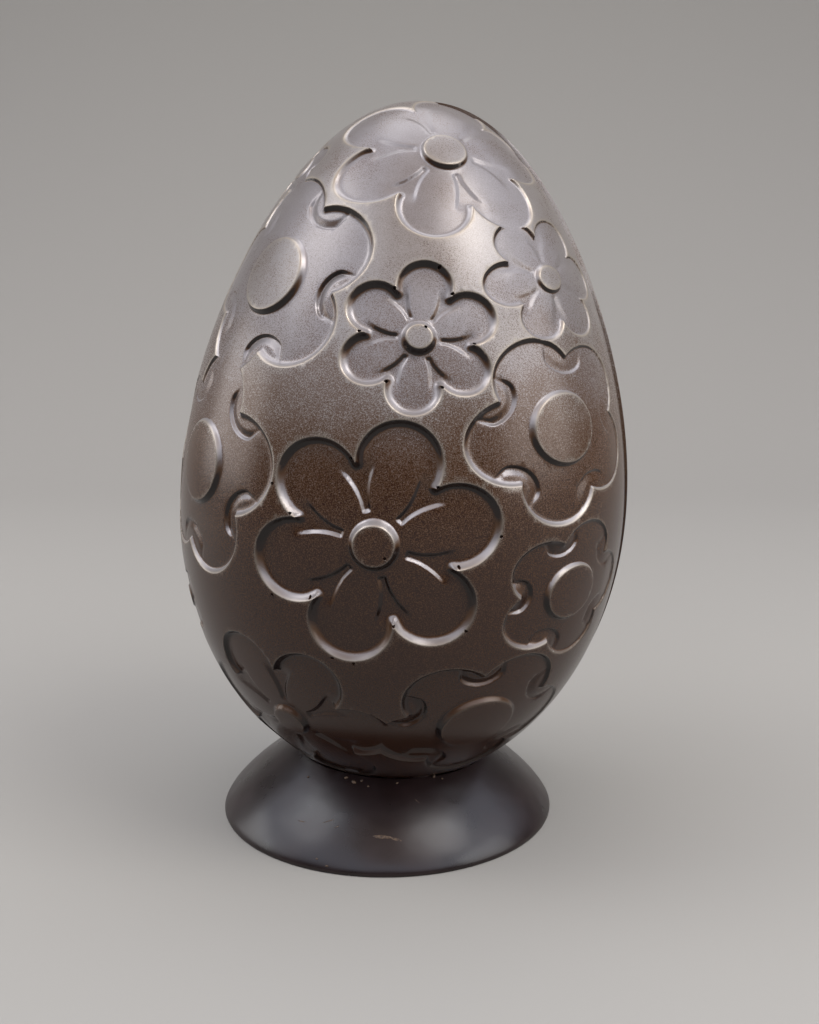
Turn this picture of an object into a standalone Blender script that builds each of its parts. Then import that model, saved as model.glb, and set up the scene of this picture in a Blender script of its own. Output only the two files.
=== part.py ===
"""Hollow-moulded chocolate egg with sunk flowers, on a low flared chocolate foot.

Two half shells from one mould are joined at an upright seam, back to back, and the egg is
stuck a little out of plumb on its foot. Metres, +Z up. The front looks along -Y and the
origin is on the ground under the middle of the egg.
"""
import math
from collections import namedtuple

import bmesh
import bpy
from mathutils import Matrix, Vector

MM = 0.001

# Egg: a body of revolution about its long axis, blunt end down.
EGG_RADIUS = 60.0 * MM
EGG_HALF_LENGTH = 91.6 * MM
TAPER = -0.176              # narrows the top, fills the bottom
SHOULDER = -0.046           # slims both ends alike
TIP_FULLNESS = 0.047        # rounds the narrow tip again
EGG_ROWS = 22
EGG_SEGMENTS = 40

# How the two halves stand.
SEAM_TURN = math.radians(-8.0)      # the front half's middle looks this far to the left
EGG_LEAN = math.radians(3.13)       # towards +X
BACK_SLIP = math.radians(0.5)       # the back half leans this much more
SEAM_GAP = 0.3 * MM

# Foot: a shallow solid dome with a dish for the egg.
FOOT_RADIUS = 46.4 * MM
FOOT_LIP = 0.8 * MM                 # upright edge that stands on the table
FOOT_NECK_RADIUS = 22.6 * MM        # where the blank would end, above the dish
FOOT_BLANK_HEIGHT = 22.5 * MM
FOOT_BULGE = 1.32                   # above 1, the side swells outward
FOOT_SEGMENTS = 56
FOOT_ROWS = 6
EGG_BOTTOM_HEIGHT = 10.5 * MM
SEAT_GAP = 0.4 * MM

# The egg leans from its lowest point, so the foot sits off the egg's middle.
FOOT_X = -EGG_HALF_LENGTH * math.sin(EGG_LEAN)

# Flowers: sunk deepest in the middle of a half and less towards its seam, where the mould
# has to let go, with a raised button left standing in the middle of each.
FLOWER_DEPTH = 2.1 * MM
DEPTH_POWER = 1.5
LEAST_FACING = 0.32         # cosine to the mould's opening direction past which depth is even
CUT_ABOVE = 4.0 * MM
CUT_BELOW = 15.0 * MM
DAISY = {"lobes": 6, "lobe_centre": 0.658, "steps": 5}
BLOSSOM = {"lobes": 5, "lobe_centre": 0.560, "steps": 6}
BUTTON_SIDES = 12

# Turn from the half's middle and twist in degrees, height on the axis from -1 to 1,
# reach of the petals and button radius in mm, stretch across.
Flower = namedtuple("Flower", "kind turn height reach twist stretch button")
FLOWERS = {
    "great_daisy": Flower(DAISY, 1.7, -0.124, 30.1, -14.0, 1.00, 6.2),
    "upper_daisy": Flower(DAISY, 9.8, 0.402, 18.5, -4.0, 1.05, 4.0),
    "crown_daisy": Flower(DAISY, 21.2, 0.868, 25.4, -14.0, 1.06, 5.6),
    "shoulder_daisy": Flower(DAISY, 56.0, 0.552, 16.4, -27.0, 1.27, 3.6),
    "right_blossom": Flower(BLOSSOM, 50.8, 0.174, 23.4, -44.5, 1.21, 9.0),
    "left_blossom": Flower(BLOSSOM, -42.3, 0.524, 27.0, 14.5, 1.02, 10.2),
    "side_blossom": Flower(BLOSSOM, -53.4, 0.005, 28.4, -9.0, 1.02, 10.6),
    "small_blossom": Flower(BLOSSOM, 54.8, -0.274, 18.2, -19.0, 1.28, 7.4),
    "low_blossom": Flower(BLOSSOM, 35.3, -0.665, 23.6, -26.5, 1.12, 9.6),
    "low_daisy": Flower(DAISY, -27.0, -0.706, 28.0, 26.0, 0.98, 5.4),
    "edge_daisy": Flower(DAISY, -71.0, -0.440, 12.0, 10.0, 1.15, 3.0),
    "edge_blossom": Flower(BLOSSOM, -70.0, 0.800, 9.5, 20.0, 1.05, 3.6),
}


def clear_scene():
    for item in list(bpy.data.objects):
        bpy.data.objects.remove(item, do_unlink=True)


def egg_shape(height):
    """Unscaled radius of the egg at a height from -1 (bottom) to 1 (top)."""
    swell = 1.0 + TAPER * height + SHOULDER * height ** 2 + TIP_FULLNESS * height ** 3
    return math.sqrt(max(0.0, 1.0 - height ** 2)) * swell


EGG_PEAK = max(egg_shape(step / 500.0) for step in range(-500, 501))


def egg_radius(height):
    return EGG_RADIUS * egg_shape(height) / EGG_PEAK


def egg_frame(turn, height):
    """Frame on the egg's skin: X goes round, Y goes up the skin, Z points outward."""
    step = 0.0005
    around = Vector((math.cos(turn), math.sin(turn), 0.0))
    outward = Vector((math.sin(turn), -math.cos(turn), 0.0))
    run = egg_radius(height + step) - egg_radius(height - step)
    rise = 2.0 * step * EGG_HALF_LENGTH
    upward = (outward * run + Vector((0.0, 0.0, rise))).normalized()
    normal = around.cross(upward)
    place = outward * egg_radius(height) + Vector((0.0, 0.0, height * EGG_HALF_LENGTH))
    frame = Matrix((around, upward, normal)).transposed().to_4x4()
    frame.translation = place
    return frame


def new_object(name, mesh_builder):
    """Make an object from a bmesh that mesh_builder fills."""
    shell = bmesh.new()
    mesh_builder(shell)
    bmesh.ops.remove_doubles(shell, verts=shell.verts, dist=1e-6)
    bmesh.ops.recalc_face_normals(shell, faces=shell.faces)
    mesh = bpy.data.meshes.new(name)
    shell.to_mesh(mesh)
    shell.free()
    item = bpy.data.objects.new(name, mesh)
    bpy.context.scene.collection.objects.link(item)
    return item


def turn_profile(shell, profile, segments):
    """Spin a list of (radius, height) points about Z; both ends lie on the axis."""
    points = [shell.verts.new((radius, 0.0, height)) for radius, height in profile]
    edges = [shell.edges.new(pair) for pair in zip(points, points[1:])]
    bmesh.ops.spin(shell, geom=points + edges, axis=(0.0, 0.0, 1.0), cent=(0.0, 0.0, 0.0),
                   steps=segments, angle=2.0 * math.pi, use_merge=True)


def egg_profile(inset):
    """Half outline of the egg, top to bottom, drawn in by an inset along its normal."""
    outline = []
    for row in range(EGG_ROWS + 1):
        height = math.cos(math.pi * row / EGG_ROWS)
        if row in (0, EGG_ROWS):
            outline.append((0.0, height * (EGG_HALF_LENGTH - inset)))
            continue
        frame = egg_frame(0.0, height)
        point = frame.translation - inset * frame.to_3x3().col[2]
        outline.append((-point.y, point.z))
    return outline


def sink_to_floor(shell):
    """Draw an egg's skin in to the floor of the flowers."""
    for vert in shell.verts:
        height = max(-0.9995, min(0.9995, vert.co.z / EGG_HALF_LENGTH))
        outward = egg_frame(math.atan2(vert.co.x, -vert.co.y), height).to_3x3().col[2]
        facing = max(-outward.y, LEAST_FACING)
        vert.co -= FLOWER_DEPTH * facing ** DEPTH_POWER * outward


def floor_blank(shell):
    turn_profile(shell, egg_profile(0.0), EGG_SEGMENTS)
    bmesh.ops.remove_doubles(shell, verts=shell.verts, dist=1e-6)
    sink_to_floor(shell)


def lobed_outline(kind, reach):
    """Points of a flower made of overlapping round lobes, the first one pointing up."""
    lobes = kind["lobes"]
    centre = kind["lobe_centre"] * reach
    radius = reach - centre
    half_share = math.pi / lobes
    notch = centre * math.cos(half_share)
    notch += math.sqrt(radius ** 2 - (centre * math.sin(half_share)) ** 2)
    opening = math.atan2(notch * math.sin(half_share), notch * math.cos(half_share) - centre)
    points = []
    for lobe in range(lobes):
        spin = -2.0 * math.pi * lobe / lobes
        for step in range(kind["steps"]):
            swing = opening * (2.0 * step / kind["steps"] - 1.0)
            x = radius * math.sin(swing)
            y = centre + radius * math.cos(swing)
            points.append((x * math.cos(spin) - y * math.sin(spin),
                           x * math.sin(spin) + y * math.cos(spin)))
    return points


def extrude_outline(shell, outline, frame, margin=0.0):
    """A prism through the skin: the outline lies in the frame's XY plane."""
    high = CUT_ABOVE + margin
    low = -CUT_BELOW - margin
    top = [shell.verts.new(frame @ Vector((x, y, high))) for x, y in outline]
    grown = bmesh.ops.extrude_face_region(shell, geom=[shell.faces.new(top)], use_keep_orig=True)
    moved = [part for part in grown["geom"] if isinstance(part, bmesh.types.BMVert)]
    bmesh.ops.translate(shell, verts=moved, vec=(low - high) * frame.to_3x3().col[2])


def flower_prisms(shell):
    for flower in FLOWERS.values():
        shaping = Matrix.Diagonal((flower.stretch, 1.0))
        shaping = shaping @ Matrix.Rotation(math.radians(flower.twist), 2)
        lobed = lobed_outline(flower.kind, flower.reach * MM)
        outline = [shaping @ Vector(point) for point in lobed]
        extrude_outline(shell, outline, egg_frame(math.radians(flower.turn), flower.height))


def button_prisms(shell):
    for flower in FLOWERS.values():
        radius = flower.button * MM
        outline = []
        for side in range(BUTTON_SIDES):
            angle = -2.0 * math.pi * side / BUTTON_SIDES
            outline.append((flower.stretch * radius * math.cos(angle), radius * math.sin(angle)))
        # Longer than the flower prisms, so that it passes right through them.
        extrude_outline(shell, outline, egg_frame(math.radians(flower.turn), flower.height),
                        margin=1.0 * MM)


def boolean(target, tool, operation):
    """Apply one exact Boolean to the target and take the tool away."""
    cut = target.modifiers.new(operation.lower(), "BOOLEAN")
    cut.operation = operation
    cut.solver = "EXACT"
    cut.use_self = True         # neighbouring prisms run into each other below the skin
    cut.object = tool
    evaluated = target.evaluated_get(bpy.context.evaluated_depsgraph_get())
    result = bpy.data.meshes.new_from_object(evaluated)
    target.modifiers.remove(cut)
    old = target.data
    target.data = result
    bpy.data.meshes.remove(old)
    bpy.data.objects.remove(tool, do_unlink=True)


def far_side_box(shell):
    """Everything behind the seam face."""
    span = 4.0 * EGG_HALF_LENGTH
    bmesh.ops.create_cube(shell, size=span)
    bmesh.ops.translate(shell, verts=shell.verts, vec=(0.0, (span - SEAM_GAP) / 2.0, 0.0))


def build_half_mesh():
    """One half shell's worth of solid egg, flat on +Y, with its flowers sunk in."""
    flowers = new_object("flowers", flower_prisms)
    boolean(flowers, new_object("buttons", button_prisms), "DIFFERENCE")
    egg = new_object("egg", lambda shell: turn_profile(shell, egg_profile(0.0), EGG_SEGMENTS))
    floor = new_object("floor", floor_blank)
    boolean(egg, flowers, "DIFFERENCE")
    boolean(egg, floor, "UNION")
    boolean(egg, new_object("far_side", far_side_box), "DIFFERENCE")
    mesh = egg.data
    bpy.data.objects.remove(egg, do_unlink=True)
    return mesh


def foot_profile():
    """Half outline of the foot's blank, top to bottom."""
    outline = [(0.0, FOOT_BLANK_HEIGHT)]
    for row in range(FOOT_ROWS, -1, -1):
        share = row / FOOT_ROWS
        radius = FOOT_RADIUS - (FOOT_RADIUS - FOOT_NECK_RADIUS) * share ** FOOT_BULGE
        outline.append((radius, FOOT_LIP + (FOOT_BLANK_HEIGHT - FOOT_LIP) * share))
    outline += [(FOOT_RADIUS, 0.0), (0.0, 0.0)]
    return outline


def stand_egg(item, turn, lean):
    """Turn a half about the egg's axis and lean it from the egg's lowest point."""
    lowest = Vector((0.0, 0.0, -EGG_HALF_LENGTH))
    leaning = Matrix.Rotation(lean, 4, "Y") @ Matrix.Rotation(turn, 4, "Z")
    foot_of_egg = Vector((FOOT_X, 0.0, EGG_BOTTOM_HEIGHT))
    item.matrix_world = Matrix.Translation(foot_of_egg) @ leaning @ Matrix.Translation(-lowest)


def build_foot():
    foot = new_object("foot", lambda shell: turn_profile(shell, foot_profile(), FOOT_SEGMENTS))
    foot.location.x = FOOT_X
    seat = new_object("seat", lambda shell: turn_profile(
        shell, egg_profile(-SEAT_GAP), EGG_SEGMENTS))
    stand_egg(seat, SEAM_TURN, EGG_LEAN)
    bpy.context.view_layer.update()
    boolean(foot, seat, "DIFFERENCE")
    return foot


def chocolate(name, color, roughness, metallic):
    material = bpy.data.materials.new(name)
    material.use_nodes = True
    surface = material.node_tree.nodes["Principled BSDF"]
    surface.inputs["Base Color"].default_value = (*color, 1.0)
    surface.inputs["Roughness"].default_value = roughness
    surface.inputs["Metallic"].default_value = metallic
    return material


def main():
    clear_scene()
    bronze = chocolate("bronze_dusted_chocolate", (0.12, 0.075, 0.055), 0.42, 0.35)
    dark = chocolate("dark_chocolate", (0.022, 0.012, 0.010), 0.38, 0.0)
    half = build_half_mesh()
    front = bpy.data.objects.new("egg_front", half)
    back = bpy.data.objects.new("egg_back", half.copy())
    for item, turn, lean in ((front, SEAM_TURN, EGG_LEAN),
                             (back, SEAM_TURN + math.pi, EGG_LEAN + BACK_SLIP)):
        bpy.context.scene.collection.objects.link(item)
        stand_egg(item, turn, lean)
        item.data.materials.append(bronze)
    foot = build_foot()
    foot.data.materials.append(dark)
    for item in (front, back, foot):
        item.data.shade_smooth()
        item.data.set_sharp_from_angle(angle=math.radians(28.0))


main()
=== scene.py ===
"""Hollow-moulded chocolate egg with sunk flowers, dusted with bronze lustre, on its chocolate foot.

The two half shells come out of one mould and are stuck back to back, so one finely modelled
half is made in the mould's own upright frame and then stood twice, front and back. Metres, +Z up.
"""

import math
from collections import namedtuple

import bmesh
import bpy
import numpy as np
from mathutils import Matrix, Vector


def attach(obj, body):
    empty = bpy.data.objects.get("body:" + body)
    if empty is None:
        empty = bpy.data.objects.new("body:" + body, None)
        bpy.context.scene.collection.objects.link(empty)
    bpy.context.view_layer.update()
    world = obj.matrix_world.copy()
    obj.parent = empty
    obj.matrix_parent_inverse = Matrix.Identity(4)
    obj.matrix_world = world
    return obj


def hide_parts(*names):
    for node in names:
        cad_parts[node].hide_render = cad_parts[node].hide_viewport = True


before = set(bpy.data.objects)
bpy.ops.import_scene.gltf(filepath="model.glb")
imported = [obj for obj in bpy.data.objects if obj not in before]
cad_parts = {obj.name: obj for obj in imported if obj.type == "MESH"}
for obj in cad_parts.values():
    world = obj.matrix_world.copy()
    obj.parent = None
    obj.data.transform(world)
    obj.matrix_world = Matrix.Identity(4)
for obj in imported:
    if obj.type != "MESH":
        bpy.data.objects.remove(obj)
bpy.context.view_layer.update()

MM = 0.001

# The egg's own outline: a body of revolution about its long axis, blunt end down.
EGG_RADIUS = 60.0 * MM
EGG_HALF_LENGTH = 91.6 * MM
TAPER = -0.176
SHOULDER = -0.046
TIP_FULLNESS = 0.047

# How the two halves stand.
SEAM_TURN = math.radians(-8.0)
EGG_LEAN = math.radians(3.13)
BACK_SLIP = math.radians(0.5)
SEAM_GAP = 0.3 * MM
EGG_BOTTOM_HEIGHT = 10.5 * MM
FOOT_X = -EGG_HALF_LENGTH * math.sin(EGG_LEAN)

# The foot: a shallow solid dome with a dish for the egg.
FOOT_RADIUS = 46.4 * MM
FOOT_LIP = 0.8 * MM
FOOT_NECK_RADIUS = 22.6 * MM
FOOT_BLANK_HEIGHT = 22.5 * MM
FOOT_BULGE = 1.32
SEAT_GAP = 0.35 * MM
JOINT_RADIUS = 26.8 * MM            # where the egg meets the foot
JOINT_HEIGHT = 19.7 * MM

# The mould's relief.
FLOWER_DEPTH = 2.1 * MM             # in the middle of a half, where the mould looks straight in
DEPTH_POWER = 1.5                   # how fast the relief gets shallower towards the seam
LEAST_FACING = 0.32                 # beyond this the depth stays the same
WALL_WIDTH = 1.25                   # a pocket's wall with the cove at its foot, per depth
COVE = 2.8                          # how hollow the wall is, 1 for a straight slope
BUTTON_SLOPE = 1.7
BUTTON_COVE = 0.8 * MM
DAISY_GROOVE = 0.40                 # below a petal's floor, as a share of the flower's depth
BLOSSOM_GROOVE = 0.62
GROOVE_WALL = 1.3 * MM
TROUGH_WIDTH = 2.4 * MM             # the arched grooves of a blossom
EDGE_ROUNDING = 0.28 * MM
SEAM_ROUNDING = 0.5 * MM
DEEPEST = 5.0 * MM
PINHOLE_RADIUS = 0.36 * MM
PINHOLE_DEPTH = 0.9 * MM

Kind = namedtuple("Kind", "lobes lobe_centre")
DAISY = Kind(6, 0.658)
BLOSSOM = Kind(5, 0.560)

# Turn from the half's middle and twist in degrees, height on the axis from -1 to 1,
# reach of the petals and radius of the button's foot in mm, stretch across.
Flower = namedtuple("Flower", "kind turn height reach twist stretch button")
FLOWERS = {
    "great_daisy": Flower(DAISY, 1.7, -0.124, 30.1, -14.0, 1.00, 6.2),
    "upper_daisy": Flower(DAISY, 9.8, 0.402, 18.5, -4.0, 1.05, 4.0),
    "crown_daisy": Flower(DAISY, 21.2, 0.868, 25.4, -14.0, 1.06, 5.6),
    "shoulder_daisy": Flower(DAISY, 56.0, 0.552, 16.4, -27.0, 1.27, 3.6),
    "right_blossom": Flower(BLOSSOM, 50.8, 0.174, 23.4, -44.5, 1.21, 9.0),
    "left_blossom": Flower(BLOSSOM, -42.3, 0.524, 27.0, 14.5, 1.02, 10.2),
    "side_blossom": Flower(BLOSSOM, -53.4, 0.005, 28.4, -9.0, 1.02, 10.6),
    "small_blossom": Flower(BLOSSOM, 54.8, -0.274, 18.2, -19.0, 1.28, 7.4),
    "low_blossom": Flower(BLOSSOM, 35.3, -0.665, 23.6, -26.5, 1.12, 9.6),
    "low_daisy": Flower(DAISY, -27.0, -0.706, 28.0, 26.0, 0.98, 5.4),
    "edge_daisy": Flower(DAISY, -71.0, -0.440, 12.0, 10.0, 1.15, 3.0),
    "edge_blossom": Flower(BLOSSOM, -70.0, 0.800, 9.5, 20.0, 1.05, 3.6),
}

# Air bubbles left pinholes round these flowers: clock angle in degrees, share of the reach.
PINHOLES = {
    "great_daisy": [(30, 0.675), (88, 0.69), (150, 0.675), (212, 0.695), (271, 0.71), (328, 0.70),
                    (70, 0.98), (118, 1.01), (173, 1.01), (183, 1.02), (224, 0.96), (281, 0.935),
                    (118, 0.13)],
    "upper_daisy": [(29, 0.70), (88, 0.68), (150, 0.69), (209, 0.69), (271, 0.72), (329, 0.70),
                    (9, 0.96), (25, 0.15)],
}


# ---------------------------------------------------------------- the egg's skin and relief

def egg_shape(height):
    """Unscaled radius of the egg at heights from -1 (bottom) to 1 (top)."""
    swell = 1.0 + TAPER * height + SHOULDER * height ** 2 + TIP_FULLNESS * height ** 3
    return np.sqrt(np.maximum(0.0, 1.0 - height ** 2)) * swell


EGG_PEAK = float(egg_shape(np.linspace(-1.0, 1.0, 1001)).max())


def egg_radius(height):
    return EGG_RADIUS * egg_shape(height) / EGG_PEAK


def facing(skin):
    """How squarely each point of the skin looks out of the mould, 1 at the half's middle."""
    height = np.clip(skin[:, 2] / EGG_HALF_LENGTH, -0.999, 0.999)
    step = 0.0005
    slope = (egg_radius(height + step) - egg_radius(height - step)) / (2.0 * step * EGG_HALF_LENGTH)
    around = np.maximum(np.hypot(skin[:, 0], skin[:, 1]), 1e-9)
    return -skin[:, 1] / around / np.sqrt(1.0 + slope ** 2)


def egg_points(ball):
    """Points of the egg's smooth skin for points of a unit ball, both as rows of x, y, z."""
    height = np.clip(ball[:, 2], -1.0, 1.0)
    ring = np.maximum(np.hypot(ball[:, 0], ball[:, 1]), 1e-9)
    swell = egg_radius(height) / ring
    return np.stack([ball[:, 0] * swell, ball[:, 1] * swell, height * EGG_HALF_LENGTH], axis=1)


def egg_frame(turn, height):
    """Place on the skin, and the directions round it, up it and out of it."""
    step = 0.0005
    around = np.array([math.cos(turn), math.sin(turn), 0.0])
    outward = np.array([math.sin(turn), -math.cos(turn), 0.0])
    run = float(egg_radius(height + step) - egg_radius(height - step))
    upward = outward * run + np.array([0.0, 0.0, 2.0 * step * EGG_HALF_LENGTH])
    upward /= np.linalg.norm(upward)
    place = outward * float(egg_radius(height)) + np.array([0.0, 0.0, height * EGG_HALF_LENGTH])
    return place, around, upward, np.cross(around, upward)


def soft_rise(distance, rounding):
    """Distance where positive and 0 where negative, with the corner rounded."""
    middle = (distance + rounding) ** 2 / (4.0 * rounding)
    return np.where(distance > rounding, distance, np.where(distance < -rounding, 0.0, middle))


def soft_step(distance, width):
    """0 to 1 over a width centred on distance 0."""
    share = np.clip(distance / width + 0.5, 0.0, 1.0)
    return share * share * (3.0 - 2.0 * share)


def soft_lower(first, second, blend):
    """The lower of two depths, with the corner between them filled."""
    near = np.maximum(blend - np.abs(first - second), 0.0) / blend
    return np.minimum(first, second) - near * near * blend / 4.0


def distance_in(flower, unit, across):
    """Metres in from a flower's edge, negative outside; unit is rows of outline coordinates."""
    kind = flower.kind
    reach = flower.reach * MM
    radius = 1.0 - kind.lobe_centre
    share = math.pi / kind.lobes
    notch = kind.lobe_centre * math.cos(share)
    notch += math.sqrt(radius ** 2 - (kind.lobe_centre * math.sin(share)) ** 2)
    opening = math.atan2(notch * math.sin(share), notch * math.cos(share) - kind.lobe_centre)
    clock = np.arctan2(unit[:, 0], unit[:, 1])
    swing = clock - np.round(clock / (2.0 * share)) * 2.0 * share
    # Within the straight lines from nib to nib, or within a lobe.
    inside = np.linalg.norm(unit, axis=1) * np.cos(swing) < notch * math.cos(share)
    nearest = np.full(len(unit), 1.0)
    for lobe in range(kind.lobes):
        angle = 2.0 * math.pi * lobe / kind.lobes
        axis = np.array([math.sin(angle), math.cos(angle)])
        from_centre = unit - kind.lobe_centre * axis
        length = np.maximum(np.linalg.norm(from_centre, axis=1), 1e-9)
        inside |= length < radius
        facing = (from_centre @ axis) / length >= math.cos(opening)
        # A stretched flower's distances grow along its stretch.
        steepness = np.linalg.norm((from_centre / length[:, None]) @ across, axis=1)
        arc = np.abs(radius - length) * reach / steepness
        nearest = np.where(facing, np.minimum(nearest, arc), nearest)
        angle += share
        tip = unit - notch * np.array([math.sin(angle), math.cos(angle)])
        corner = np.linalg.norm(tip @ np.linalg.inv(across).T, axis=1) * reach
        nearest = np.minimum(nearest, corner)
    return np.where(inside, nearest, -nearest)


def groove(flower, unit):
    """Grooves between the petals, below their floor, as a share of the flower's depth."""
    kind = flower.kind
    reach = flower.reach * MM
    share = 2.0 * math.pi / kind.lobes
    length = np.linalg.norm(unit, axis=1)
    clock = np.arctan2(unit[:, 0], unit[:, 1])
    swing = clock - np.round(clock / share) * share
    if kind is DAISY:
        # Each petal is an oval pad; a wedge lies open between two pads.
        along = length * np.cos(swing)
        aside = length * np.abs(np.sin(swing))
        half_width = 0.195 * np.sqrt(np.maximum(0.0, 1.0 - ((along - 0.55) / 0.36) ** 2))
        between = length * np.cos(share / 2.0 - np.abs(swing))
        open_way = soft_step((aside - half_width) * reach, GROOVE_WALL)
        open_way *= soft_step((between - 0.275) * reach, GROOVE_WALL)
        open_way *= DAISY_GROOVE * soft_step((0.600 - along) * reach, 4.5 * MM)
    else:
        # A short arched groove hugs the nib between two lobes.
        side = share / 2.0 - np.abs(swing)
        down = length * np.cos(side)
        aside = length * np.sin(side)
        arch = np.hypot(aside, 0.875 - down)
        inner = (0.295 - arch) * reach
        open_way = BLOSSOM_GROOVE * soft_step(inner, 0.6 * GROOVE_WALL)
        open_way *= 1.0 - soft_step(inner - 0.6 * TROUGH_WIDTH, TROUGH_WIDTH)
        open_way *= soft_step((0.225 - aside) * reach, GROOVE_WALL)
    return open_way


def relief(skin):
    """Depth of the mould's relief below the smooth skin, and how near each point is to a rim."""
    edge_in = np.full(len(skin), -1.0)
    depth_here = FLOWER_DEPTH * np.maximum(facing(skin), LEAST_FACING) ** DEPTH_POWER
    grooves = np.zeros(len(skin))
    button = np.full(len(skin), 1.0)
    pinhole = np.zeros(len(skin))
    for name, flower in FLOWERS.items():
        place, around, upward, outward = egg_frame(math.radians(flower.turn), flower.height)
        offset = skin - place
        near = offset @ outward > -15.0 * MM
        near &= np.linalg.norm(offset, axis=1) < 1.4 * flower.stretch * flower.reach * MM
        if not near.any():
            continue
        offset = offset[near]
        flat = np.stack([offset @ around / flower.stretch, offset @ upward], axis=1)
        twist = math.radians(flower.twist)
        turning = np.array([[math.cos(twist), -math.sin(twist)],
                            [math.sin(twist), math.cos(twist)]])
        unit = flat @ turning / (flower.reach * MM)
        # Takes outline directions back to directions on the skin.
        across = turning.T @ np.diag([1.0 / flower.stretch, 1.0])
        inward = distance_in(flower, unit, across)
        closer = inward > edge_in[near]
        grooves[near] = np.where(closer, groove(flower, unit), grooves[near])
        edge_in[near] = np.maximum(edge_in[near], inward)
        length = np.maximum(np.linalg.norm(unit, axis=1), 1e-9)
        steepness = np.linalg.norm((unit / length[:, None]) @ across, axis=1)
        out = (length * flower.reach - flower.button) * MM / steepness
        out += depth_here[near] / BUTTON_SLOPE
        button[near] = np.minimum(button[near], out)
        for clock, share in PINHOLES.get(name, []):
            angle = math.radians(clock)
            gap = unit - share * np.array([math.sin(angle), math.cos(angle)])
            away = np.linalg.norm(gap, axis=1) * flower.reach * MM / PINHOLE_RADIUS
            pit = PINHOLE_DEPTH * np.maximum(0.0, 1.0 - away ** 4)
            pinhole[near] = np.maximum(pinhole[near], pit)
    way_in = soft_rise(edge_in, EDGE_ROUNDING) / (WALL_WIDTH * depth_here)
    cove = 1.0 - (1.0 - np.clip(way_in, 0.0, 1.0)) ** COVE
    rise = soft_rise(button, EDGE_ROUNDING) * BUTTON_SLOPE
    depth = soft_lower(depth_here * (1.0 + grooves) * cove, rise, BUTTON_COVE)
    depth = np.maximum(depth, 0.0) * (edge_in > -EDGE_ROUNDING)
    seam = np.maximum(0.0, 1.0 - np.abs(skin[:, 1]) / SEAM_ROUNDING)
    rim = np.exp(-((edge_in + 0.15 * MM) / (0.32 * MM)) ** 2)
    rim = np.maximum(rim, np.exp(-((button + 0.15 * MM) / (0.30 * MM)) ** 2) * (edge_in > 0.0))
    # No powder lies in a pinhole.
    rim = np.where(pinhole > 0.05 * MM, -5.0, rim)
    return depth + pinhole + 0.4 * SEAM_ROUNDING * seam ** 2, rim


# ---------------------------------------------------------------- making things by hand

def pick_only(item):
    """Leave this one object selected and active."""
    bpy.ops.object.select_all(action="DESELECT")
    item.select_set(True)
    bpy.context.view_layer.objects.active = item


def edit(item, select_mode):
    pick_only(item)
    bpy.ops.object.mode_set(mode="EDIT")
    bpy.ops.mesh.select_mode(type=select_mode)


def done_editing():
    bpy.ops.object.mode_set(mode="OBJECT")


def vertex_rows(mesh):
    rows = np.empty(len(mesh.vertices) * 3)
    mesh.vertices.foreach_get("co", rows)
    return rows.reshape(-1, 3)


def normal_rows(mesh):
    rows = np.empty(len(mesh.vertices) * 3)
    mesh.vertices.foreach_get("normal", rows)
    return rows.reshape(-1, 3)


def edge_rows(mesh):
    rows = np.empty(len(mesh.edges) * 2, dtype=np.int32)
    mesh.edges.foreach_get("vertices", rows)
    return rows.reshape(-1, 2)


def on_ball(rows):
    return rows / np.linalg.norm(rows, axis=1)[:, None]


def cut_ball_finer(item, tolerance, shortest):
    """Halve each edge along which the relief bends by more than the tolerance."""
    mesh = item.data
    ball = vertex_rows(mesh)
    edges = edge_rows(mesh)
    skin = egg_points(ball)
    depth = relief(skin)[0]
    start, end = edges[:, 0], edges[:, 1]
    bend = np.zeros(len(edges))
    for share in (0.25, 0.5, 0.75):
        between = on_ball(ball[start] * (1.0 - share) + ball[end] * share)
        true_depth = relief(egg_points(between))[0]
        bend = np.maximum(bend, np.abs(true_depth - depth[start] * (1.0 - share)
                                       - depth[end] * share))
    length = np.linalg.norm(skin[start] - skin[end], axis=1)
    chosen = (bend > tolerance) & (length > shortest)
    edit(item, "EDGE")
    bpy.ops.mesh.select_all(action="DESELECT")
    done_editing()
    mesh.edges.foreach_set("select", chosen)
    edit(item, "EDGE")
    bpy.ops.mesh.subdivide(number_cuts=1)
    bpy.ops.mesh.select_all(action="SELECT")
    bpy.ops.mesh.quads_convert_to_tris(quad_method="BEAUTY", ngon_method="BEAUTY")
    # A point where only three edges meet lies on a fold, so it goes.
    bpy.ops.mesh.select_mode(type="VERT")
    bpy.ops.mesh.select_all(action="DESELECT")
    sheet = bmesh.from_edit_mesh(mesh)
    for vert in sheet.verts:
        vert.select = len(vert.link_edges) == 3 and not vert.is_boundary
    bmesh.update_edit_mesh(mesh)
    bpy.ops.mesh.dissolve_verts()
    done_editing()
    mesh.vertices.foreach_set("co", on_ball(vertex_rows(mesh)).ravel())
    mesh.update()
    return int(chosen.sum())


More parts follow.
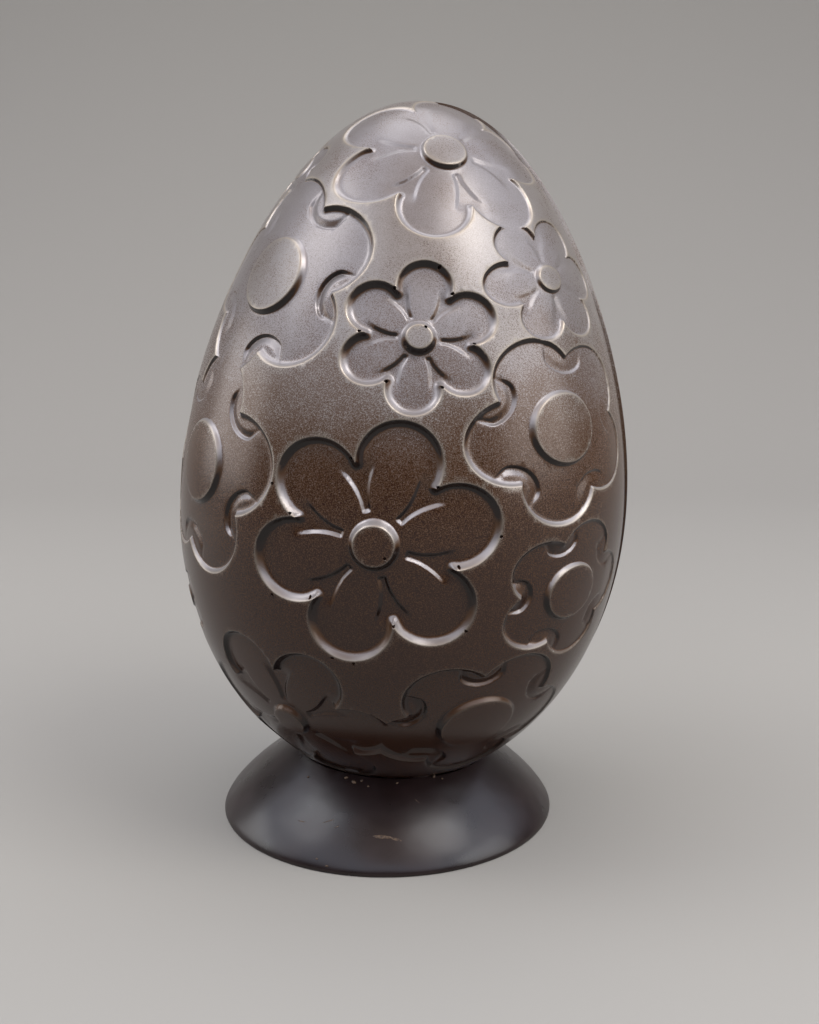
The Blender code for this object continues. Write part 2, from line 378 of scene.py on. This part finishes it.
def model_half(name):
    """One half shell in the mould's upright frame, as a closed solid flat on its seam."""
    bpy.ops.mesh.primitive_ico_sphere_add(subdivisions=7, radius=1.0)
    half = bpy.context.object
    half.name = name
    edit(half, "FACE")
    bpy.ops.mesh.select_all(action="SELECT")
    bpy.ops.mesh.bisect(plane_co=(0.0, 0.04, 0.0), plane_no=(0.0, 1.0, 0.0), clear_outer=True)
    bpy.ops.mesh.select_all(action="SELECT")
    bpy.ops.mesh.quads_convert_to_tris()
    done_editing()
    for tolerance, shortest in ((0.05, 0.3), (0.03, 0.3), (0.02, 0.3), (0.06, 0.12)):
        count = cut_ball_finer(half, tolerance * MM, shortest * MM)
        print(name, "edges halved", count, "faces", len(half.data.polygons))

    # Draw the ball out to the egg's outline, then sink the relief along the skin's normal.
    mesh = half.data
    skin = egg_points(vertex_rows(mesh))
    depth, rim = relief(skin)
    mesh.vertices.foreach_set("co", skin.ravel())
    mesh.update()
    smooth = normal_rows(mesh)
    wear = mesh.attributes.new("rim", "FLOAT", "POINT")
    wear.data.foreach_set("value", rim)
    sunk = mesh.attributes.new("sunk", "FLOAT", "POINT")
    sunk.data.foreach_set("value", np.clip(depth / (0.5 * MM), 0.0, 1.0))
    group = half.vertex_groups.new(name="sunk")
    for index, weight in enumerate((depth / DEEPEST).tolist()):
        if weight > 0.0:
            group.add([index], weight, "REPLACE")
    sink = half.modifiers.new("relief", "DISPLACE")
    sink.direction = "NORMAL"
    sink.mid_level = 0.0
    sink.strength = -DEEPEST
    sink.vertex_group = group.name
    pick_only(half)
    bpy.ops.object.modifier_apply(modifier=sink.name)
    half.vertex_groups.clear()
    slope = 1.0 - (normal_rows(mesh) * smooth).sum(axis=1)
    wall = mesh.attributes.new("wall", "FLOAT", "POINT")
    wall.data.foreach_set("value", np.clip(slope / 0.20, 0.0, 1.0))

    edit(half, "FACE")
    bpy.ops.mesh.select_all(action="SELECT")
    bpy.ops.mesh.bisect(plane_co=(0.0, -SEAM_GAP / 2.0, 0.0), plane_no=(0.0, 1.0, 0.0),
                        clear_outer=True, use_fill=True)
    bpy.ops.mesh.select_all(action="SELECT")
    bpy.ops.mesh.normals_make_consistent(inside=False)
    done_editing()
    return half


def stand_egg(item, turn, lean):
    """Turn a half about the egg's axis and lean it from the egg's lowest point."""
    lowest = Vector((0.0, 0.0, -EGG_HALF_LENGTH))
    leaning = Matrix.Rotation(lean, 4, "Y") @ Matrix.Rotation(turn, 4, "Z")
    foot_of_egg = Vector((FOOT_X, 0.0, EGG_BOTTOM_HEIGHT))
    item.matrix_world = Matrix.Translation(foot_of_egg) @ leaning @ Matrix.Translation(-lowest)
    pick_only(item)
    bpy.ops.object.transform_apply(location=True, rotation=True, scale=True)


def foot_profile():
    """Half outline of the foot's blank from the middle of its underside up to its top."""
    outline = [(0.0, 0.0), (FOOT_RADIUS - 0.5 * MM, 0.0), (FOOT_RADIUS - 0.15 * MM, 0.12 * MM),
               (FOOT_RADIUS, 0.45 * MM)]
    rows = 40
    for row in range(rows + 1):
        share = row / rows
        radius = FOOT_RADIUS - (FOOT_RADIUS - FOOT_NECK_RADIUS) * share ** FOOT_BULGE
        outline.append((radius, FOOT_LIP + (FOOT_BLANK_HEIGHT - FOOT_LIP) * share))
    outline.append((0.0, FOOT_BLANK_HEIGHT))
    return outline


def foot_surface(radius):
    """Height of the dome at a distance from its axis."""
    share = ((FOOT_RADIUS - radius) / (FOOT_RADIUS - FOOT_NECK_RADIUS)) ** (1.0 / FOOT_BULGE)
    return FOOT_LIP + (FOOT_BLANK_HEIGHT - FOOT_LIP) * share


def ripple(item, group, size, strength):
    """Hand-made unevenness: lumps of a given size pushed along the normals."""
    clouds = bpy.data.textures.new(item.name + "_unevenness", "CLOUDS")
    clouds.noise_scale = size
    push = item.modifiers.new("unevenness", "DISPLACE")
    push.texture = clouds
    push.texture_coords = "LOCAL"
    push.mid_level = 0.5
    push.strength = strength
    if group:
        push.vertex_group = group.name
    pick_only(item)
    bpy.ops.object.modifier_apply(modifier=push.name)


def model_foot():
    """Turn the blank from its outline and sink the egg's dish into it."""
    bpy.ops.mesh.primitive_plane_add(size=0.01)
    blank = bpy.context.object
    blank.name = "foot_dome"
    edit(blank, "VERT")
    bpy.ops.mesh.select_all(action="SELECT")
    bpy.ops.mesh.merge(type="CENTER")
    outline = foot_profile()
    for (radius, height), (next_radius, next_height) in zip(outline, outline[1:]):
        step = (next_radius - radius, 0.0, next_height - height)
        bpy.ops.mesh.extrude_region_move(TRANSFORM_OT_translate={"value": step})
    bpy.ops.mesh.select_all(action="SELECT")
    bpy.ops.mesh.spin(steps=180, angle=2.0 * math.pi, center=(0.0, 0.0, 0.0),
                      axis=(0.0, 0.0, 1.0))
    bpy.ops.mesh.select_all(action="SELECT")
    bpy.ops.mesh.remove_doubles(threshold=0.00001)
    bpy.ops.mesh.normals_make_consistent(inside=False)
    done_editing()

    group = blank.vertex_groups.new(name="dome")
    for index, place in enumerate(vertex_rows(blank.data).tolist()):
        if place[2] > FOOT_LIP:
            group.add([index], min(1.0, (place[2] - FOOT_LIP) / (2.0 * MM)), "REPLACE")
    ripple(blank, group, 14.0 * MM, 0.35 * MM)
    blank.vertex_groups.clear()

    bpy.ops.mesh.primitive_uv_sphere_add(segments=160, ring_count=120, radius=1.0)
    dish = bpy.context.object
    rows = egg_points(vertex_rows(dish.data))
    rows *= 1.0 + SEAT_GAP / EGG_HALF_LENGTH
    dish.data.vertices.foreach_set("co", rows.ravel())
    stand_egg(dish, SEAM_TURN, EGG_LEAN)
    blank.location.x = FOOT_X
    cut = blank.modifiers.new("dish", "BOOLEAN")
    cut.operation = "DIFFERENCE"
    cut.object = dish
    pick_only(blank)
    bpy.ops.object.transform_apply(location=True, rotation=True, scale=True)
    bpy.ops.object.modifier_apply(modifier=cut.name)
    bpy.data.objects.remove(dish, do_unlink=True)
    return blank


def model_joint():
    """The uneven thread of melted chocolate that holds the egg in its dish."""
    bpy.ops.mesh.primitive_torus_add(major_segments=240, minor_segments=16,
                                     major_radius=JOINT_RADIUS, minor_radius=0.75 * MM)
    bead = bpy.context.object
    bead.name = "joint_bead"
    ripple(bead, None, 5.0 * MM, 1.1 * MM)
    bead.location = (FOOT_X + JOINT_HEIGHT * math.sin(EGG_LEAN), 0.0, JOINT_HEIGHT)
    bead.rotation_euler.y = EGG_LEAN
    pick_only(bead)
    bpy.ops.object.transform_apply(location=True, rotation=True, scale=True)
    return bead


# Crumbs and scrapes on the foot: clock angle round it in degrees with 0 at +X, distance from
# its axis in mm, length, width and thickness in mm, and turn of the length from the rim's run.
Fleck = namedtuple("Fleck", "angle radius length width thickness turn")
CRUMBS = [Fleck(-112, 28.2, 1.1, 0.7, 0.6, 30), Fleck(-107, 29.0, 1.5, 0.9, 0.7, -20),
          Fleck(-103, 28.4, 0.9, 0.7, 0.6, 60), Fleck(-99, 29.6, 0.6, 0.5, 0.4, 0),
          Fleck(-84, 28.8, 0.8, 0.5, 0.5, 15), Fleck(-63, 28.3, 1.2, 0.8, 0.7, 40),
          Fleck(-59, 29.2, 0.6, 0.4, 0.4, -35), Fleck(-134, 30.4, 0.7, 0.5, 0.4, 10),
          Fleck(24, 29.0, 1.0, 0.7, 0.6, 10), Fleck(131, 28.9, 1.2, 0.7, 0.6, -40),
          Fleck(-109, 46.0, 1.0, 0.5, 0.4, 5), Fleck(-113, 45.3, 0.7, 0.5, 0.4, -15)]
SCRAPES = [Fleck(-91, 40.4, 5.2, 0.95, 0.20, -3), Fleck(-86, 40.9, 3.0, 0.75, 0.18, -18),
           Fleck(-113, 38.3, 3.2, 0.30, 0.10, 28), Fleck(-109, 39.2, 1.8, 0.30, 0.10, 38),
           Fleck(-76, 33.0, 2.6, 0.22, 0.08, -50), Fleck(-124, 39.6, 2.4, 0.25, 0.08, 5),
           Fleck(58, 41.0, 3.0, 0.30, 0.10, 12), Fleck(160, 37.0, 2.2, 0.26, 0.08, -22)]


def model_flecks(name, flecks, roughness):
    """Small irregular bits lying on the dome, as one object."""
    made = []
    for index, fleck in enumerate(flecks):
        bpy.ops.mesh.primitive_ico_sphere_add(subdivisions=2, radius=0.5)
        bit = bpy.context.object
        edit(bit, "VERT")
        bpy.ops.mesh.select_all(action="SELECT")
        bpy.ops.transform.vertex_random(offset=roughness, seed=index + 1)
        done_editing()
        bit.scale = (fleck.length * MM, fleck.width * MM, fleck.thickness * MM)
        radius = fleck.radius * MM
        fall = math.atan2(foot_surface(radius - 0.3 * MM) - foot_surface(radius + 0.3 * MM),
                          0.6 * MM)
        angle = math.radians(fleck.angle)
        lay = Matrix.Rotation(angle, 4, "Z") @ Matrix.Translation(
            (radius, 0.0, foot_surface(radius) + 0.2 * fleck.thickness * MM))
        lay = lay @ Matrix.Rotation(fall, 4, "Y") @ Matrix.Rotation(
            math.radians(90.0 + fleck.turn), 4, "Z")
        shape = Matrix.Diagonal((*bit.scale, 1.0))
        bit.matrix_world = Matrix.Translation((FOOT_X, 0.0, 0.0)) @ lay @ shape
        made.append(bit)
    bpy.ops.object.select_all(action="DESELECT")
    for bit in made:
        bit.select_set(True)
    bpy.context.view_layer.objects.active = made[0]
    bpy.ops.object.join()
    made[0].name = name
    pick_only(made[0])
    bpy.ops.object.transform_apply(location=True, rotation=True, scale=True)
    return made[0]


# ---------------------------------------------------------------- finishes

def linear(code, alpha=1.0):
    """A colour as light amounts from its hex code."""
    parts = [int(code[place:place + 2], 16) / 255.0 for place in (0, 2, 4)]
    return [p / 12.92 if p <= 0.04045 else ((p + 0.055) / 1.055) ** 2.4 for p in parts] + [alpha]


def node(tree, kind, **settings):
    """Add a node and set its sockets and properties; a tuple (node, output) makes a link."""
    made = tree.nodes.new(kind)
    for name, value in settings.items():
        if name.startswith("p_"):
            setattr(made, name[2:], value)
    for name, value in settings.items():
        if name.startswith("p_"):
            continue
        socket = made.inputs[int(name[1:])] if name[1:].isdigit() else made.inputs[name.replace("_", " ")]
        if isinstance(value, tuple) and len(value) == 2 and hasattr(value[0], "outputs"):
            tree.links.new(value[0].outputs[value[1]], socket)
        else:
            socket.default_value = value
    return made


def bronze_lustre():
    """Dark chocolate dusted with bronze lustre powder, with a painted highlight on the walls facing up
    and painted shade on those facing down.
    """
    material = bpy.data.materials.new("bronze lustre powder on dark chocolate")
    material.use_nodes = True
    tree = material.node_tree
    surface = tree.nodes["Principled BSDF"]
    place = node(tree, "ShaderNodeTexCoord")
    grain = node(tree, "ShaderNodeTexNoise", Vector=(place, "Object"), Scale=3800.0, Detail=1.0,
                 Roughness=0.5)
    cloud = node(tree, "ShaderNodeTexNoise", Vector=(place, "Object"), Scale=70.0, Detail=3.0,
                 Roughness=0.55)
    rim = node(tree, "ShaderNodeAttribute", p_attribute_name="rim")
    wall = node(tree, "ShaderNodeAttribute", p_attribute_name="wall")
    sunk = node(tree, "ShaderNodeAttribute", p_attribute_name="sunk")
    height = node(tree, "ShaderNodeSeparateXYZ", Vector=(place, "Object"))
    # The powder thins out towards the egg's underside.
    above = node(tree, "ShaderNodeMapRange", Value=(height, "Z"), From_Min=0.078, From_Max=0.152,
                 To_Min=0.01, To_Max=0.31, p_interpolation_type="SMOOTHSTEP")
    speck = node(tree, "ShaderNodeMapRange", Value=(grain, "Fac"), From_Min=0.3, From_Max=0.7,
                 To_Min=-0.11, To_Max=0.11)
    patchy = node(tree, "ShaderNodeMapRange", Value=(cloud, "Fac"), From_Min=0.3, From_Max=0.7,
                  To_Min=0.85, To_Max=1.15)
    even = node(tree, "ShaderNodeMath", p_operation="MULTIPLY", i0=(above, "Result"),
                i1=(patchy, "Result"))
    sown = node(tree, "ShaderNodeMapRange", Value=(height, "Z"), From_Min=0.03, From_Max=0.09)
    finer = node(tree, "ShaderNodeMapRange", Value=(height, "Z"), From_Min=0.12, From_Max=0.17,
                 To_Min=1.0, To_Max=0.4)
    amount = node(tree, "ShaderNodeMath", p_operation="MULTIPLY", i0=(sown, "Result"),
                  i1=(finer, "Result"))
    flecks = node(tree, "ShaderNodeMath", p_operation="MULTIPLY", i0=(speck, "Result"),
                  i1=(amount, "Value"))
    dusted = node(tree, "ShaderNodeMath", p_operation="ADD", i0=(flecks, "Value"),
                  i1=(even, "Value"))
    # Powder settles in a smooth film on the walls that face up, and this film is also a painted highlight
    # there; walls that face down are left bare of powder as painted shade.
    upward = node(tree, "ShaderNodeSeparateXYZ", Vector=(place, "Normal"))
    settled_and_lit = node(tree, "ShaderNodeMapRange", Value=(upward, "Z"), From_Min=-0.20, From_Max=0.50,
                   To_Min=-0.12, To_Max=0.50)
    wall_film_and_highlight = node(tree, "ShaderNodeMath", p_operation="MULTIPLY", i0=(settled_and_lit, "Result"),
                i1=(sown, "Result"))
    dust_with_wall_highlight = node(tree, "ShaderNodeMix", p_data_type="FLOAT", i0=(wall, "Fac"),
                  i2=(dusted, "Value"), i3=(wall_film_and_highlight, "Value"))
    worn = node(tree, "ShaderNodeMapRange", Value=(height, "Z"), From_Min=0.03, From_Max=0.09,
                To_Min=0.02, To_Max=0.12)
    # The powder amount carries the painted highlight on the walls facing up as well as the dust.
    powder = node(tree, "ShaderNodeMath", p_operation="MULTIPLY_ADD", i0=(rim, "Fac"),
                  i1=(worn, "Result"), i2=(dust_with_wall_highlight, "Result"), p_use_clamp=True)
    # A thin dusting is bronze, a thick one pearly, cooler in the pockets.
    thick = node(tree, "ShaderNodeMapRange", Value=(powder, "Value"), From_Min=0.10, From_Max=0.30)
    pearl = node(tree, "ShaderNodeMix", p_data_type="RGBA", i0=(sunk, "Fac"),
                 i6=linear("ebe2da"), i7=linear("e3dbd8"))
    flake = node(tree, "ShaderNodeMix", p_data_type="RGBA", i0=(thick, "Result"),
                 i6=linear("c9935f"))
    tree.links.new(pearl.outputs[2], flake.inputs[7])
    # Handling has rubbed the rims to a warm cream.
    rubbed = node(tree, "ShaderNodeMix", p_data_type="RGBA", i0=(rim, "Fac"), i7=linear("e8d9c4"))
    tree.links.new(flake.outputs[2], rubbed.inputs[6])
    # Walls facing down turn a deeper brown: painted shade.
    facing_down_for_shade = node(tree, "ShaderNodeMapRange", Value=(upward, "Z"), From_Min=-0.3, From_Max=0.2,
                   To_Min=1.0, To_Max=0.0)
    painted_wall_shade = node(tree, "ShaderNodeMath", p_operation="MULTIPLY", i0=(facing_down_for_shade, "Result"),
                i1=(wall, "Fac"))
    cocoa_with_painted_shade = node(tree, "ShaderNodeMix", p_data_type="RGBA", i0=(painted_wall_shade, "Value"),
                 i6=linear("2c1911"), i7=linear("140a07"))
    colour = node(tree, "ShaderNodeMix", p_data_type="RGBA", i0=(powder, "Value"))
    tree.links.new(cocoa_with_painted_shade.outputs[2], colour.inputs[6])
    tree.links.new(rubbed.outputs[2], colour.inputs[7])
    tree.links.new(colour.outputs[2], surface.inputs["Base Color"])
    tree.links.new(powder.outputs["Value"], surface.inputs["Metallic"])
    rough = node(tree, "ShaderNodeMapRange", Value=(powder, "Value"), From_Min=0.0, From_Max=0.45,
                 To_Min=0.20, To_Max=0.33)
    tree.links.new(rough.outputs["Result"], surface.inputs["Roughness"])
    surface.inputs["IOR"].default_value = 1.45
    bump = node(tree, "ShaderNodeBump", Strength=0.5, Distance=0.04 * MM, Height=(grain, "Fac"))
    tree.links.new(bump.outputs["Normal"], surface.inputs["Normal"])
    return material


def plain_chocolate():
    """Undusted dark chocolate: deep purple brown, satin, with broad soft lights and faint bloom."""
    material = bpy.data.materials.new("satin dark chocolate")
    material.use_nodes = True
    tree = material.node_tree
    surface = tree.nodes["Principled BSDF"]
    place = node(tree, "ShaderNodeTexCoord")
    bloom = node(tree, "ShaderNodeTexNoise", Vector=(place, "Object"), Scale=90.0, Detail=4.0)
    patch = node(tree, "ShaderNodeMapRange", Value=(bloom, "Fac"), From_Min=0.35, From_Max=0.75)
    colour = node(tree, "ShaderNodeMix", p_data_type="RGBA", i0=(patch, "Result"),
                  i6=linear("190e0d"), i7=linear("261817"))
    tree.links.new(colour.outputs[2], surface.inputs["Base Color"])
    rough = node(tree, "ShaderNodeMapRange", Value=(bloom, "Fac"), From_Min=0.3, From_Max=0.7,
                 To_Min=0.26, To_Max=0.34)
    tree.links.new(rough.outputs["Result"], surface.inputs["Roughness"])
    fine = node(tree, "ShaderNodeTexNoise", Vector=(place, "Object"), Scale=900.0, Detail=3.0)
    bump = node(tree, "ShaderNodeBump", Strength=0.15, Distance=0.05 * MM, Height=(fine, "Fac"))
    tree.links.new(bump.outputs["Normal"], surface.inputs["Normal"])
    return material


def scraped_chocolate():
    """Dull paler chocolate, as where it has crumbled or been scraped and lost its gloss."""
    material = bpy.data.materials.new("dull scraped chocolate")
    material.use_nodes = True
    tree = material.node_tree
    surface = tree.nodes["Principled BSDF"]
    place = node(tree, "ShaderNodeTexCoord")
    grain = node(tree, "ShaderNodeTexNoise", Vector=(place, "Object"), Scale=1500.0, Detail=2.0)
    patch = node(tree, "ShaderNodeMapRange", Value=(grain, "Fac"), From_Min=0.35, From_Max=0.65)
    colour = node(tree, "ShaderNodeMix", p_data_type="RGBA", i0=(patch, "Result"),
                  i6=linear("35271e"), i7=linear("6a5542"))
    tree.links.new(colour.outputs[2], surface.inputs["Base Color"])
    surface.inputs["Roughness"].default_value = 0.6
    return material


# ---------------------------------------------------------------- the object

lustre = bronze_lustre()
chocolate = plain_chocolate()
scraped = scraped_chocolate()

front = model_half("front_half")
back = front.copy()
back.data = front.data.copy()
back.name = "back_half"
bpy.context.scene.collection.objects.link(back)
for item, turn, lean, name in ((front, SEAM_TURN, EGG_LEAN, "egg_front"),
                               (back, SEAM_TURN + math.pi, EGG_LEAN + BACK_SLIP, "egg_back")):
    stand_egg(item, turn, lean)
    item.data.materials.clear()
    item.data.materials.append(lustre)
    pick_only(item)
    bpy.ops.object.shade_smooth_by_angle(angle=math.radians(60.0))
    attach(item, "root")
    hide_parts(name)

foot = model_foot()
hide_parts("foot")
for item, finish, corner in ((foot, chocolate, 40.0), (model_joint(), chocolate, 60.0),
                             (model_flecks("crumbs", CRUMBS, 0.09), scraped, 60.0),
                             (model_flecks("scrapes", SCRAPES, 0.06), scraped, 60.0)):
    item.data.materials.clear()
    item.data.materials.append(finish)
    pick_only(item)
    bpy.ops.object.shade_smooth_by_angle(angle=math.radians(corner))
    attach(item, "root")

# ---------------------------------------------------------------- the studio

bpy.ops.object.select_all(action="DESELECT")
bpy.ops.mesh.primitive_plane_add(size=3.0, location=(0.0, -0.7, 0.0))
floor = bpy.context.object
floor.name = "studio_floor"
edit(floor, "EDGE")
bpy.ops.mesh.select_all(action="DESELECT")
sheet = bmesh.from_edit_mesh(floor.data)
for edge in sheet.edges:
    edge.select = all(vert.co.y > 1.0 for vert in edge.verts)
bmesh.update_edit_mesh(floor.data)
bpy.ops.mesh.extrude_region_move(TRANSFORM_OT_translate={"value": (0.0, 0.0, 1.5)})
bpy.ops.mesh.select_all(action="DESELECT")
sheet = bmesh.from_edit_mesh(floor.data)
for edge in sheet.edges:
    edge.select = all(vert.co.y > 1.0 and vert.co.z < 0.01 for vert in edge.verts)
bmesh.update_edit_mesh(floor.data)
bpy.ops.mesh.bevel(offset=0.4, segments=24, affect="EDGES")
done_editing()
bpy.ops.object.transform_apply(location=True, rotation=True, scale=True)
bpy.ops.object.shade_smooth()
paper = bpy.data.materials.new("pale studio paper")
paper.use_nodes = True
paper.node_tree.nodes["Principled BSDF"].inputs["Base Color"].default_value = linear("a39f97")
paper.node_tree.nodes["Principled BSDF"].inputs["Roughness"].default_value = 0.9
floor.data.materials.append(paper)

# A wide bright tent overhead, dark from just above the horizon down.
world = bpy.data.worlds.new("soft studio tent")
world.use_nodes = True
sky = world.node_tree
direction = node(sky, "ShaderNodeTexCoord")
rise = node(sky, "ShaderNodeSeparateXYZ", Vector=(direction, "Generated"))
tent = node(sky, "ShaderNodeMapRange", Value=(rise, "Z"), From_Min=0.25, From_Max=0.53,
            To_Min=0.05, To_Max=1.7, p_interpolation_type="SMOOTHSTEP")
# High up in front the tent has a dimmer, warmer opening.
towards = node(sky, "ShaderNodeVectorMath", p_operation="DOT_PRODUCT", i0=(direction, "Generated"),
               i1=(0.10, -0.36, 0.93))
opening = node(sky, "ShaderNodeMapRange", Value=(towards, "Value"), From_Min=0.85, From_Max=0.98,
               p_interpolation_type="SMOOTHSTEP")
shade = node(sky, "ShaderNodeMapRange", Value=(opening, "Result"), To_Min=1.0, To_Max=0.4)
glow = node(sky, "ShaderNodeMath", p_operation="MULTIPLY", i0=(tent, "Result"),
            i1=(shade, "Result"))
sky.links.new(glow.outputs["Value"], sky.nodes["Background"].inputs["Strength"])
tint = node(sky, "ShaderNodeMix", p_data_type="RGBA", i0=(opening, "Result"),
            i6=linear("e8eeff"), i7=linear("f4ddd0"))
sky.links.new(tint.outputs[2], sky.nodes["Background"].inputs["Color"])
bpy.context.scene.world = world


def softbox(name, place, target, width, height, power):
    lamp = bpy.data.lights.new(name, "AREA")
    lamp.shape = "RECTANGLE"
    lamp.size = width
    lamp.size_y = height
    lamp.energy = power
    holder = bpy.data.objects.new(name, lamp)
    holder.location = place
    holder.rotation_euler = (Vector(target) - Vector(place)).to_track_quat("-Z", "Y").to_euler()
    bpy.context.scene.collection.objects.link(holder)


softbox("right", (0.35, -0.25, 0.67), (0.0, 0.0, 0.12), 0.32, 0.32, 1.6)
softbox("left", (-0.48, -0.05, 0.62), (0.0, 0.0, 0.12), 0.32, 0.32, 0.85)
softbox("behind", (0.0, 0.26, 0.78), (0.0, 0.0, 0.12), 0.45, 0.30, 0.62)
softbox("low_right", (0.62, -0.24, 0.27), (0.0, 0.0, 0.11), 0.50, 0.38, 1.4)
softbox("low_left", (-0.62, 0.08, 0.20), (0.0, 0.0, 0.10), 0.40, 0.26, 0.8)

camera = bpy.data.cameras.new("camera")
camera.lens = 49.2
camera.sensor_width = 36.0
holder = bpy.data.objects.new("camera", camera)
holder.location = (0.0013, -0.3731, 0.1735)
holder.rotation_euler = (math.radians(90.0 - 13.31), 0.0, 0.0)
bpy.context.scene.collection.objects.link(holder)
bpy.context.scene.camera = holder

bpy.context.scene.view_settings.view_transform = "Standard"

bpy.context.view_layer.update()
